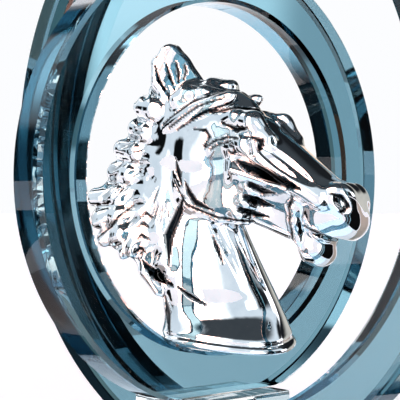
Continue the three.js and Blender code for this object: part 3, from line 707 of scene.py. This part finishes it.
def mirror_plate():
    """Bright silver-coloured plating over a hand-polished casting: a near mirror with a soft hand-worked ripple."""
    material = bpy.data.materials.new("mirror_plated_casting")
    material.use_nodes = True
    tree = material.node_tree
    tree.nodes.clear()
    place = add_node(tree, "ShaderNodeTexCoord")
    # cloudy bloom of the plating, in patches of about 8 mm
    cloud = add_node(tree, "ShaderNodeTexNoise", {"Scale": 125.0, "Detail": 4.0, "Roughness": 0.55},
                     {"Vector": place.outputs["Object"]})
    tone = add_node(tree, "ShaderNodeValToRGB", {}, {"Fac": cloud.outputs["Fac"]})
    tone.color_ramp.elements[0].position, tone.color_ramp.elements[0].color = 0.35, linear("#E3E9EE")
    tone.color_ramp.elements[1].position, tone.color_ramp.elements[1].color = 0.65, linear("#F4F7F9")
    gloss = add_node(tree, "ShaderNodeMapRange", {"From Min": 0.35, "From Max": 0.7, "To Min": 0.015, "To Max": 0.05},
                     {"Value": cloud.outputs["Fac"]})
    # polishing ripple about 2.5 mm across
    ripple = add_node(tree, "ShaderNodeTexNoise", {"Scale": 400.0, "Detail": 1.0},
                      {"Vector": place.outputs["Object"]})
    bump = add_node(tree, "ShaderNodeBump", {"Strength": 0.05, "Distance": 0.0004},
                    {"Height": ripple.outputs["Fac"]})
    # painted shade in the engraved lines and the mane's cuts: their bottoms are coloured dark, partly as dark polish
    # left in them and partly standing in for the shade and dark reflections that these grooves show
    polish_and_painted_shade = add_node(tree, "ShaderNodeAttribute", attribute_name="polish_and_painted_shade")
    worked = add_node(tree, "ShaderNodeMix", {"B": linear("#10161B")},
                      {"A": tone.outputs["Color"], "Factor": polish_and_painted_shade.outputs["Fac"]}, data_type="RGBA")
    shader = add_node(tree, "ShaderNodeBsdfPrincipled", {"Metallic": 1.0},
                      {"Base Color": worked.outputs["Result"], "Roughness": gloss.outputs["Result"],
                       "Normal": bump.outputs["Normal"]})
    out = add_node(tree, "ShaderNodeOutputMaterial")
    tree.links.new(shader.outputs["BSDF"], out.inputs["Surface"])
    return material


HORSE_CELL = 0.62
HORSE_LOW, HORSE_HIGH = (-58, -20.8, -72), (62, 20.8, 54)
skin_points, skin_faces, skin_slope = skin_of(horse_form, HORSE_LOW, HORSE_HIGH, HORSE_CELL)
skin_points, skin_faces, skin_slope = largest_skin(skin_points, skin_faces, skin_slope)
horse_points, horse_facing = turned(skin_points, skin_slope, INNER_MIDDLE)
horse = mesh_object("horse_head_casting", horse_points / 1000, skin_faces, mirror_plate())
horse.data.shade_smooth()
horse.data.normals_split_custom_set_from_vertices(horse_facing.tolist())
sides = (skin_points[:, 0], np.abs(skin_points[:, 1]), skin_points[:, 2])
# painted shade: how dark the plating is coloured at each point, in the engraved lines and the mane's cuts, partly dark
# polish and partly standing in for shade and dark reflections
polish_and_painted_shade = np.clip(1.5 * engraving(sides)[1] + 0.6 * strand_cuts(sides), 0, 1)
horse.data.attributes.new("polish_and_painted_shade", "FLOAT", "POINT").data.foreach_set("value", polish_and_painted_shade.astype(np.float32))
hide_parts("horse_head")
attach(horse, "root")


# Floor
# A plain matt white table top, larger than any view of the trophy.

def white_table():
    """Matt white board: no shine at all, so the eye reads one even pale ground."""
    material = bpy.data.materials.new("matt_white_table")
    material.use_nodes = True
    shader = material.node_tree.nodes["Principled BSDF"]
    shader.inputs["Base Color"].default_value = linear("#EEF4F9")
    shader.inputs["Roughness"].default_value = 0.9
    shader.inputs["Specular IOR Level"].default_value = 0.0
    shader.inputs["Emission Color"].default_value = linear("#EAF4FF")
    shader.inputs["Emission Strength"].default_value = 0.45
    return material


FLOOR_HALF = 4
floor_corners = [(FLOOR_HALF * sx, FLOOR_HALF * sy, 0) for sx, sy in base_corners]
floor = mesh_object("floor", floor_corners, [(0, 1, 2, 3)], white_table())


# Cards
# Paper cards that the camera and the table do not see: bright, tinted and black ones lie just over the table,
# a tan one stands behind the nose, and a black strip hangs behind the far side of the large ring.
# The mirror plating and the polished crystal pick them up as their pale, tan and dark bands.

def card(name, hex_code, verts, faces, glow=0.0):
    """Matt paper with no shine, lit from behind by its glow."""
    material = bpy.data.materials.new(name + "_paper")
    material.use_nodes = True
    shader = material.node_tree.nodes["Principled BSDF"]
    shader.inputs["Base Color"].default_value = linear(hex_code)
    shader.inputs["Roughness"].default_value = 0.8
    shader.inputs["Specular IOR Level"].default_value = 0.0
    shader.inputs["Emission Color"].default_value = linear(hex_code)
    shader.inputs["Emission Strength"].default_value = glow
    piece = mesh_object(name, verts, faces, material)
    piece.visible_camera = piece.visible_diffuse = piece.visible_shadow = False


# each card on the table: colour, glow, height over the table, corners
TABLE_CARDS = [
    ("bright_card", "#F6F8FA", 0.85, 0.0006, [(-0.06, 0.14), (0.14, 0.0), (2.6, 1.7), (-0.4, 3.0)]),
    ("shade_card", "#ECEFF1", 0.0, 0.0009, [(0.18, 0.38), (0.35, 0.39), (2.6, 3.8), (1.9, 3.9)]),
    ("left_card", "#FFC8B8", 4.0, 0.0006, [(-0.13, -0.06), (-0.13, 0.06), (-1.5, 0.4), (-1.5, -0.4)]),
    ("warm_card", "#CFCBC2", 0.0, 0.0006, [(0.09, -0.065), (1.5, -1.05), (1.5, 0.1), (0.09, 0.03)]),
    ("front_card", "#F6F8FA", 1.4, 0.0006, [(-0.03, -0.09), (-0.27, -1.4), (-1.2, -1.4), (-0.25, -0.25)]),
    ("black_card", "#121416", 0.0, 0.0006, [(0.075, -0.065), (-0.012, -0.075), (-0.25, -1.4), (1.1, -0.85)]),
    ("back_strip", "#121416", 0.0, 0.0009,
     [(-0.034, 0.159), (-0.086, 0.111), (-0.435, 0.439), (-0.325, 0.541)]),
    # painted shade: the grey and black cards beside the base stand in for the table's shadow there, as the plating and
    # the crystal reflect it
    ("near_shade", "#C9CDD0", 0.0, 0.0008, [(-0.15, 0.063), (0.06, 0.063), (0.06, 0.15), (-0.15, 0.15)]),
    ("near_deep_shade", "#121416", 0.0, 0.0009, [(-0.062, 0.063), (0.01, 0.063), (0.01, 0.086), (-0.062, 0.086)]),
]
for name, hex_code, glow, height, corners in TABLE_CARDS:
    card(name, hex_code, [(x, y, height) for x, y in corners], [(0, 1, 2, 3)], glow)

NOSE_CARD_Y = -0.009
nose_card = [(0.018, 0.016), (0.060, -0.002), (0.060, 0.022), (0.018, 0.028)]
card("nose_card", "#CDB8A5", [(x, NOSE_CARD_Y, INNER_MIDDLE / 1000 + z) for x, z in nose_card], [(0, 1, 2, 3)], 0.85)

STRIP_RADIUS = 0.113
STRIP_EDGES = (0.0039, 0.0095)
STRIP_STEPS = 32
rim_strip = []
for step in range(STRIP_STEPS + 1):
    turn = math.radians(4 * step - 50)
    for x in STRIP_EDGES:
        rim_strip.append((x, STRIP_RADIUS * math.cos(turn), OUTER_MIDDLE + STRIP_RADIUS * math.sin(turn)))
card("rim_strip", "#08090A", rim_strip, [(k, k + 1, k + 3, k + 2) for k in range(0, 2 * STRIP_STEPS, 2)])


# Studio
# Soft white light from all round, with softboxes, flags and a warm wall that stand out of the camera's sight.
# The mirror plating and the polished crystal pick them up; the camera itself sees a plain white backdrop.

room = bpy.data.worlds.new("studio")
bpy.context.scene.world = room
room.use_nodes = True
tree = room.node_tree
tree.nodes.clear()
seen = add_node(tree, "ShaderNodeTexCoord")
part = add_node(tree, "ShaderNodeSeparateXYZ", {}, {"Vector": seen.outputs["Generated"]})
azimuth = add_node(tree, "ShaderNodeMath", {}, {0: part.outputs["Y"], 1: part.outputs["X"]}, operation="ARCTAN2")
elevation = add_node(tree, "ShaderNodeMath", {}, {0: part.outputs["Z"]}, operation="ARCSINE")
WALLS = (0.76, 0.85, 0.93, 1.0)
# each panel: where it stands (azimuth, elevation), its half width and half height, its soft edge, its light
STUDIO_PANELS = [
    ("backdrop", 66, 0, 32, 46, 3, (1.2, 1.22, 1.25, 1.0)),
    ("high_glow", 49, 6.5, 5, 2.7, 1, (2.5, 2.4, 2.35, 1.0)),
    ("left_shade", 57, 6.5, 4.2, 5, 0.8, (0.32, 0.42, 0.42, 1.0)),
    ("edge_shade", 81, 9, 5, 4, 1, (0.3, 0.4, 0.42, 1.0)),
    ("edge_glow", 80, 20, 6, 5, 2, (2.2, 2.0, 1.95, 1.0)),
    ("warm_wall", -3, -12, 36, 40, 4, (0.62, 0.60, 0.55, 1.0)),
    ("warm_top", 40, 19, 14, 8, 2, (0.62, 0.60, 0.55, 1.0)),
    ("top_flag", 44, 12.2, 9, 2.6, 0.8, (0.3, 0.3, 0.31, 1.0)),
    ("low_flag", 24, 12, 5, 3, 1, (0.36, 0.36, 0.37, 1.0)),
    ("dark_room", -4, 46, 40, 28, 5, (0.012, 0.014, 0.017, 1.0)),
    ("right_softbox", -46, 17, 14, 10, 3, (2.6, 2.6, 2.7, 1.0)),
    ("dark_front", -83, 12, 23, 14, 4, (0.012, 0.014, 0.017, 1.0)),
    ("dark_low", -46, 1, 15, 5, 2, (0.012, 0.014, 0.017, 1.0)),
    ("dark_right", -38, 3, 9, 6.5, 2, (0.03, 0.03, 0.035, 1.0)),
    ("dim_ceiling", 0, 90, 181, 45, 6, (0.05, 0.06, 0.07, 1.0)),
    ("over_softbox", 113, 45, 13, 6, 3, (2.2, 2.2, 2.2, 1.0)),
    ("rim_flag", 91, 38, 7, 7, 2, (0.02, 0.03, 0.035, 1.0)),
    ("rim_glow", 78, 36, 4, 3, 1, (3.0, 3.0, 3.1, 1.0)),
    ("front_softbox", -122, 13.5, 9, 8.5, 3, (4.8, 4.9, 4.7, 1.0)),
    ("left_softbox", 180, 4, 24, 42, 6, (2.2, 2.25, 2.3, 1.0)),
    ("left_gel", 178, 22, 16, 26, 3, (8.2, 4.8, 3.9, 1.0)),
    ("left_flag", 127, 5.5, 11, 9.5, 2, (0.004, 0.005, 0.006, 1.0)),
]
shade = None
for name, az, el, half_wide, half_high, soft, light in STUDIO_PANELS:
    mask = None
    for angle, middle, half in ((azimuth, az, half_wide), (elevation, el, half_high)):
        off = add_node(tree, "ShaderNodeMath", {1: math.radians(middle)}, {0: angle.outputs[0]}, operation="SUBTRACT")
        wrapped = add_node(tree, "ShaderNodeMath", {1: math.pi, 2: -math.pi}, {0: off.outputs[0]}, operation="WRAP")
        far = add_node(tree, "ShaderNodeMath", {}, {0: wrapped.outputs[0]}, operation="ABSOLUTE")
        edge = add_node(tree, "ShaderNodeMapRange",
                        {"From Min": math.radians(half + soft), "From Max": math.radians(half - soft)},
                        {"Value": far.outputs[0]}, interpolation_type="SMOOTHSTEP")
        if mask:
            edge = add_node(tree, "ShaderNodeMath", {}, {0: mask, 1: edge.outputs[0]}, operation="MULTIPLY")
        mask = edge.outputs[0]
    blend = add_node(tree, "ShaderNodeMix", {"A": WALLS, "B": light}, {"Factor": mask}, data_type="RGBA")
    if shade:
        tree.links.new(shade, blend.inputs["A"])
    shade = blend.outputs["Result"]
path = add_node(tree, "ShaderNodeLightPath")
backdrop = add_node(tree, "ShaderNodeMix", {"B": linear("#FCFDFF")},
                    {"Factor": path.outputs["Is Camera Ray"], "A": shade}, data_type="RGBA")
glow = add_node(tree, "ShaderNodeBackground", {"Strength": 1.0}, {"Color": backdrop.outputs["Result"]})
out = add_node(tree, "ShaderNodeOutputWorld")
tree.links.new(glow.outputs["Background"], out.inputs["Surface"])


# Camera
# A long lens close to table height, level with the horse's jaw.

EYE_PLACE = (-0.30197, -0.32477, INNER_MIDDLE / 1000 - 0.00388)
EYE_AHEAD = Vector((0.67283, 0.73973, -0.00951))
EYE_TILT = math.radians(0.259)
camera = bpy.data.cameras.new("camera")
camera.lens = 113.07
camera.sensor_width = 36
eye = bpy.data.objects.new("camera", camera)
bpy.context.scene.collection.objects.link(eye)
ahead = EYE_AHEAD.normalized()
side = ahead.cross(Vector((0, 0, 1))).normalized()
above = side.cross(ahead)
right = math.cos(EYE_TILT) * side + math.sin(EYE_TILT) * above
upright = math.cos(EYE_TILT) * above - math.sin(EYE_TILT) * side
eye.matrix_world = Matrix.Translation(EYE_PLACE) @ Matrix((right, upright, -ahead)).transposed().to_4x4()
bpy.context.scene.camera = eye
bpy.context.scene.view_settings.view_transform = "Standard"
